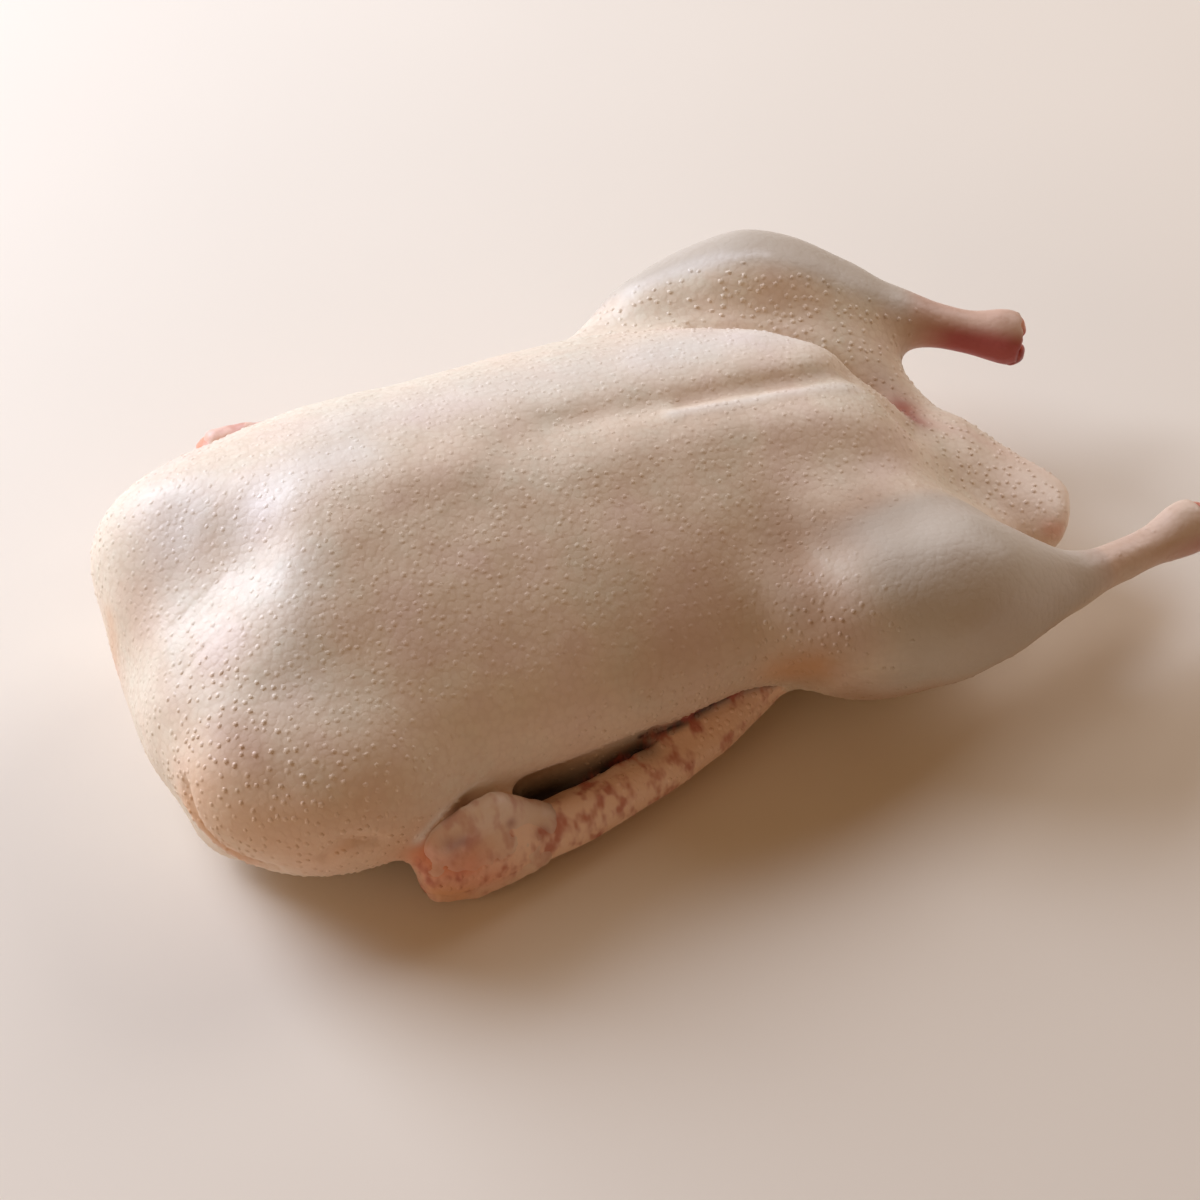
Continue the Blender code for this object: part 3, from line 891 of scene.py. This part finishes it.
class DUCK_OT_skin(bpy.types.Operator):
    """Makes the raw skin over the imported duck, with its folds, wrinkles and zones of colour"""

    bl_idname = "duck.skin"
    bl_label = "Raw skin"

    def execute(self, context):
        settings = context.scene.duck_skin
        skin = linked("duck_skin", DUCK.data.copy())
        self.merge(skin.data)
        remeshed(skin, FIRST_VOXEL)
        put_points(skin, evened(skin, points_of(skin), settings.rounds))
        self.slit_open(skin)
        remeshed(skin, settings.voxel)
        put_points(skin, evened(skin, points_of(skin), LAST_ROUNDS))
        self.sculpt(skin, settings.unevenness)
        self.mark_zones(skin)
        smooth_faces(skin)
        skin.data.materials.clear()
        skin.data.materials.append(raw_skin(tuple(settings.colour)))
        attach(skin, BODY)
        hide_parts("duck")
        return {"FINISHED"}

    def merge(self, mesh):
        """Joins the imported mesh's loose triangles."""
        bm = bmesh.new()
        bm.from_mesh(mesh)
        bmesh.ops.remove_doubles(bm, verts=bm.verts, dist=MERGE_DISTANCE)
        bm.to_mesh(mesh)
        bm.free()

    def slit_open(self, skin):
        """Cuts the slits between the wings and the body."""
        for stations in SLITS:
            cutter = slit_cutter(stations)
            cut = skin.modifiers.new("slit", "BOOLEAN")
            cut.operation = "DIFFERENCE"
            cut.object = cutter
            baked(skin)
            bpy.data.objects.remove(cutter, do_unlink=True)

    def sculpt(self, skin, unevenness):
        """Presses in the folds, raises the ridges and adds the soft lumps of fat."""
        points = points_of(skin)
        for stations in (RIGHT_SHANK, LEFT_SHANK):
            retract(points, stations)
        put_points(skin, points)
        strokes = list(STROKES)
        for k in range(FRONT_WRINKLES):
            path = np.array(FRONT_WRINKLE) + k * np.array(FRONT_WRINKLE_STEP)
            strokes.append((path, FRONT_WRINKLE_RADIUS, FRONT_WRINKLE_DEPTH))
        for path, radius, lift in strokes:
            points = points_of(skin)
            move = lift * touch(points, path, radius)
            put_points(skin, points + normals_of(skin) * move[:, None])
        points = points_of(skin)
        height = unevenness * lumps(points, FAT_LUMP_SIZE, FAT_LUMP_SEED)
        height *= eased(*FAT_LUMP_FADE, points[:, 2])
        points += normals_of(skin) * height[:, None]
        low, high = np.array(CAD_BOX)
        margin = np.array((BOX_MARGIN, BOX_MARGIN, 0.0))
        put_points(skin, np.clip(points, low + margin, high - BOX_MARGIN))

    def mark_zones(self, skin):
        """Keeps, for each point, how much of each colour zone it has and how its follicles are. The
        zones begin and end at so many radii from a limb's middle, and so many metres along it."""
        points = points_of(skin)
        normals = normals_of(skin)
        zones = {}

        right_leg, _ = limb_reach(points, RIGHT_DRUMSTICK)
        left_leg, _ = limb_reach(points, LEFT_DRUMSTICK)
        line = np.array(LEFT_THIGH_LINE)
        outside = points[:, 1] - np.interp(points[:, 0], line[:, 0], line[:, 1])
        thin_left = eased(1.35, 1.05, left_leg) * eased(-LINE_SOFTNESS, LINE_SOFTNESS, outside)
        thin_right = eased(1.22, 1.00, right_leg) * eased(0.030, 0.060, points[:, 0])
        thin_right *= eased(0.030, 0.045, points[:, 2])
        zones["lilac"] = np.maximum(thin_left, thin_right)

        right_shank, right_shank_along = limb_reach(points, RIGHT_SHANK)
        left_shank, left_shank_along = limb_reach(points, LEFT_SHANK)
        zones["mauve"] = np.maximum(
            0.6 * eased(1.7, 1.2, right_shank) * eased(0.000, 0.020, right_shank_along),
            eased(1.7, 1.2, left_shank) * eased(0.000, 0.012, left_shank_along),
        )
        red_right = 0.5 * eased(1.7, 1.2, right_shank) * eased(0.030, 0.055, right_shank_along)
        red_right *= eased(0.000, 0.006, underneath(points, RIGHT_SHANK))
        red_left = eased(1.8, 1.3, left_shank) * eased(0.006, 0.026, left_shank_along)
        red_left *= eased(-0.003, 0.004, underneath(points, LEFT_SHANK))
        zones["crimson"] = np.maximum(red_right, red_left)

        right_wing, _ = limb_reach(points, RIGHT_FOREARM)
        left_wing, _ = limb_reach(points, LEFT_FOREARM)
        zones["wing"] = np.maximum(
            eased(1.30, 1.08, right_wing) * eased(-0.122, -0.116, points[:, 0]),
            eased(1.40, 1.12, left_wing),
        )
        tail, tail_along = limb_reach(points, TAIL)
        zones["tail"] = eased(1.3, 1.0, tail) * eased(0.015, 0.035, tail_along)

        zones.update(patch_zones(points))

        # Painted shade: the skin is darkened in its hollows, where shade falls.
        hollow = ((evened(skin, points, HOLLOW_ROUNDS) - points) * normals).sum(axis=1)
        zones["painted_crease_shade"] = eased(*HOLLOW_DEPTHS, hollow)
        bare = np.maximum.reduce([zones["lilac"], zones["mauve"], eased(0.006, 0.002, points[:, 2])])
        zones["feathered"] = 1 - bare
        pimples = eased(0.1, 0.6, self.pimples(points))
        zones["pimply"] = PLAIN_SKIN_SHARE + (1 - PLAIN_SKIN_SHARE) * pimples

        for name, values in zones.items():
            put_attribute(skin, name, values)

    def pimples(self, points):
        """How strongly each point of the skin is goose-bumped."""
        strong = np.zeros(len(points))
        for path, radius in GOOSE_BUMPS:
            strong = np.maximum(strong, touch(points, path, radius))
        return strong


class DUCK_OT_follicles(bpy.types.Operator):
    """Sets raised feather follicles all over the skin with Geometry Nodes, then makes them a mesh"""

    bl_idname = "duck.follicles"
    bl_label = "Feather follicles"

    def execute(self, context):
        settings = context.scene.duck_follicles
        skin = bpy.data.objects.get("duck_skin")
        if skin is None:
            raise RuntimeError("the skin is made first")
        dome = self.dome()
        holder = linked("follicle_holder", skin.data.copy())
        modifier = holder.modifiers.new("follicles", "NODES")
        tree, sockets = self.tree(dome, skin.data.materials[0])
        modifier.node_group = tree
        for name, value in (
            ("Spacing", settings.spacing),
            ("Radius", settings.radius),
            ("Height", settings.height),
            ("Seed", settings.seed),
        ):
            modifier[sockets[name]] = value
        baked(holder)
        holder.name = "feather_follicles"
        bpy.data.objects.remove(dome, do_unlink=True)
        if not holder.data.polygons:
            raise RuntimeError("no follicle was made")
        smooth_faces(holder)
        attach(holder, BODY)
        return {"FINISHED"}

    def dome(self):
        """A low bump of radius 1 and height 1 with a crisp rim, which lies just under the skin."""
        bm = bmesh.new()
        turns = [2 * np.pi * j / DOME_CORNERS for j in range(DOME_CORNERS)]
        rim, shoulder = [
            [bm.verts.new((radius * np.cos(t), radius * np.sin(t), height)) for t in turns]
            for radius, height in (DOME_RIM, DOME_SHOULDER)
        ]
        top = bm.verts.new((0.0, 0.0, 1.0))
        for j in range(DOME_CORNERS):
            k = (j + 1) % DOME_CORNERS
            bm.faces.new((rim[j], rim[k], shoulder[k], shoulder[j]))
            bm.faces.new((shoulder[j], shoulder[k], top))
        bm.faces.new(reversed(rim))
        for j in range(DOME_CORNERS):
            bm.edges.get((rim[j], rim[(j + 1) % DOME_CORNERS])).smooth = False
        mesh = bpy.data.meshes.new("follicle_dome")
        bm.to_mesh(mesh)
        bm.free()
        return linked("follicle_dome", mesh)

    def tree(self, dome, material):
        """The node tree: points strewn over the skin, a dome on each one, joined as one mesh."""
        tree = bpy.data.node_groups.new("follicles_on_skin", "GeometryNodeTree")
        interface = tree.interface
        interface.new_socket("Geometry", in_out="INPUT", socket_type="NodeSocketGeometry")
        sockets = {}
        for name, kind in (
            ("Spacing", "NodeSocketFloat"),
            ("Radius", "NodeSocketFloat"),
            ("Height", "NodeSocketFloat"),
            ("Seed", "NodeSocketInt"),
        ):
            sockets[name] = interface.new_socket(name, in_out="INPUT", socket_type=kind).identifier
        interface.new_socket("Geometry", in_out="OUTPUT", socket_type="NodeSocketGeometry")
        given = node(tree, "NodeGroupInput").outputs
        feathered = node(tree, "GeometryNodeInputNamedAttribute", {"Name": "feathered"}, data_type="FLOAT")
        strength = node(tree, "GeometryNodeInputNamedAttribute", {"Name": "pimply"}, data_type="FLOAT")
        strewn = node(
            tree,
            "GeometryNodeDistributePointsOnFaces",
            {
                "Mesh": given["Geometry"],
                "Distance Min": given["Spacing"],
                "Density Max": FOLLICLE_DENSITY,
                "Density Factor": feathered.outputs["Attribute"],
                "Seed": given["Seed"],
            },
            distribute_method="POISSON",
        )
        uneven = node(
            tree,
            "FunctionNodeRandomValue",
            {"Min": FOLLICLE_LEAST, "Max": FOLLICLE_MOST, "Seed": given["Seed"]},
            data_type="FLOAT_VECTOR",
        )
        height = times(tree, given["Height"], strength.outputs["Attribute"])
        size = node(
            tree, "ShaderNodeCombineXYZ", {"X": given["Radius"], "Y": given["Radius"], "Z": height}
        )
        scale = node(
            tree,
            "ShaderNodeVectorMath",
            {0: size.outputs["Vector"], 1: uneven.outputs[0]},
            operation="MULTIPLY",
        )
        shape = node(tree, "GeometryNodeObjectInfo", {"Object": dome}, transform_space="ORIGINAL")
        placed = node(
            tree,
            "GeometryNodeInstanceOnPoints",
            {
                "Points": strewn.outputs["Points"],
                "Instance": shape.outputs["Geometry"],
                "Rotation": strewn.outputs["Rotation"],
                "Scale": scale.outputs["Vector"],
            },
        )
        real = node(tree, "GeometryNodeRealizeInstances", {"Geometry": placed.outputs["Instances"]})
        painted = node(
            tree, "GeometryNodeSetMaterial", {"Geometry": real.outputs["Geometry"], "Material": material}
        )
        node(tree, "NodeGroupOutput", {"Geometry": painted.outputs["Geometry"]})
        return tree, sockets


class DUCK_OT_joints(bpy.types.Operator):
    """Makes the joint ends that show where the wings and feet are cut off"""

    bl_idname = "duck.joints"
    bl_label = "Cut joints"

    def execute(self, context):
        settings = context.scene.duck_joints
        material = raw_joint(tuple(settings.flesh), tuple(settings.cartilage))
        for name, stations in (("hock_joint_right", RIGHT_SHANK), ("hock_joint_left", LEFT_SHANK)):
            self.keep(self.joint(name, stations), material)
        for name, stations, outward, size in (
            ("wing_wrist_right", RIGHT_FOREARM, -1.0, 1.0),
            ("wing_wrist_left", LEFT_FOREARM, 1.0, LEFT_WRIST_SIZE),
        ):
            self.keep(self.wrist(name, stations, outward, size), bpy.data.materials["raw_duck_skin"])
        return {"FINISHED"}

    def joint(self, name, stations):
        """One joint end: its knobs melted together, inside the limb's own outline."""
        end, way, radius = end_of(stations)
        across, upward = sides_of(way)
        balls = [
            (end + radius * (-back * way + side * across + rise * upward), radius * size)
            for back, side, rise, size in HOCK_KNOBS
        ]
        joint = melted(name, balls, KNOB_VOXEL, KNOB_ROUNDS)
        rise = (points_of(joint) - end) @ np.array(UPPER_SIDE) / radius
        put_attribute(joint, "pale", 0.5 * eased(-0.2, 0.7, rise))
        return joint

    def wrist(self, name, stations, outward, size):
        """One wing's cut wrist: its lines of flesh melted together, with the skin's patches on it."""
        end, way, _ = end_of(stations)
        across, upward = sides_of(way)
        balls = []
        for line in WRIST_LINES:
            line = np.array(line)
            at = np.linspace(0, len(line) - 1, WRIST_STEPS * (len(line) - 1) + 1)
            steps = [np.interp(at, np.arange(len(line)), line[:, column]) for column in range(4)]
            for back, side, rise, radius in zip(*steps):
                middle = end - back * way + size * (outward * side * across + rise * upward)
                balls.append((middle, size * radius))
        wrist = melted(name, balls, WRIST_VOXEL, WRIST_ROUNDS)
        points = points_of(wrist)
        for mask, values in patch_zones(points).items():
            put_attribute(wrist, mask, values)
        put_attribute(wrist, "wing", np.full(len(points), WRIST_REDNESS))
        return wrist

    def keep(self, piece, material):
        """Gives the piece its material and tells the frame about it."""
        piece.data.materials.append(material)
        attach(piece, BODY)


class DUCK_OT_stage(bpy.types.Operator):
    """Makes the pale floor, the soft lights and the camera"""

    bl_idname = "duck.stage"
    bl_label = "Stage"

    def execute(self, context):
        settings = context.scene.duck_stage
        self.floor(settings)
        self.lights(settings)
        self.camera()
        return {"FINISHED"}

    def floor(self, settings):
        """A flat floor, a hair under the duck."""
        half = settings.floor_size / 2
        bm = bmesh.new()
        place = Matrix.Translation((0, 0, -FLOOR_GAP))
        bmesh.ops.create_grid(bm, x_segments=1, y_segments=1, size=half, matrix=place)
        mesh = bpy.data.meshes.new("floor")
        bm.to_mesh(mesh)
        bm.free()
        floor = linked("floor", mesh)
        floor.data.materials.append(pale_floor(tuple(settings.floor_colour)))

    def lights(self, settings):
        """A wide soft light on the duck's left, two weaker ones, and an even warm surround."""
        for name, place, size, share, colour in LIGHTS:
            data = bpy.data.lights.new(name, "AREA")
            data.shape = "SQUARE"
            data.size = size
            data.energy = share * settings.key_power
            data.color = linear(colour)
            light = linked(name, data)
            light.location = place
            light.rotation_euler = (-Vector(place)).to_track_quat("-Z", "Y").to_euler()
        world = bpy.data.worlds.new("even_surround")
        world.use_nodes = True
        background = world.node_tree.nodes["Background"]
        background.inputs["Color"].default_value = (*linear(SURROUND_COLOUR), 1.0)
        background.inputs["Strength"].default_value = settings.ambient
        bpy.context.scene.world = world
        bpy.context.scene.view_settings.view_transform = "Standard"

    def camera(self):
        """The camera at the photograph's place."""
        data = bpy.data.cameras.new("camera")
        data.sensor_width = SENSOR_WIDTH
        data.lens = CAMERA_LENS
        camera = linked("camera", data)
        camera.location = CAMERA_PLACE
        camera.rotation_euler = Vector(CAMERA_LOOK).to_track_quat("-Z", "Y").to_euler()
        bpy.context.scene.camera = camera


class DUCK_PT_pieces(bpy.types.Panel):
    """Lists the pieces, in the order they are made in"""

    bl_label = "Whole raw duck"
    bl_idname = "DUCK_PT_pieces"
    bl_space_type = "VIEW_3D"
    bl_region_type = "UI"
    bl_category = "Duck"

    def draw(self, context):
        for operator, settings in PIECES:
            column = self.layout.column(align=True)
            column.operator(operator)
            group = getattr(context.scene, settings)
            for name in type(group).__annotations__:
                column.prop(group, name)


# Each operator with the settings it reads, in the order the pieces are made in.
PIECES = (
    ("duck.skin", "duck_skin"),
    ("duck.follicles", "duck_follicles"),
    ("duck.joints", "duck_joints"),
    ("duck.stage", "duck_stage"),
)
SETTINGS = {
    "duck_skin": SkinSettings,
    "duck_follicles": FollicleSettings,
    "duck_joints": JointSettings,
    "duck_stage": StageSettings,
}
OPERATORS = (DUCK_OT_skin, DUCK_OT_follicles, DUCK_OT_joints, DUCK_OT_stage)


def register():
    for cls in (*SETTINGS.values(), *OPERATORS, DUCK_PT_pieces):
        bpy.utils.register_class(cls)
    for name, cls in SETTINGS.items():
        setattr(bpy.types.Scene, name, PointerProperty(type=cls))


def unregister():
    for name in SETTINGS:
        delattr(bpy.types.Scene, name)
    for cls in (DUCK_PT_pieces, *reversed(OPERATORS), *reversed(tuple(SETTINGS.values()))):
        bpy.utils.unregister_class(cls)


def main():
    register()
    bpy.ops.duck.skin()
    bpy.ops.duck.follicles()
    bpy.ops.duck.joints()
    bpy.ops.duck.stage()


if __name__ == "__main__":
    main()
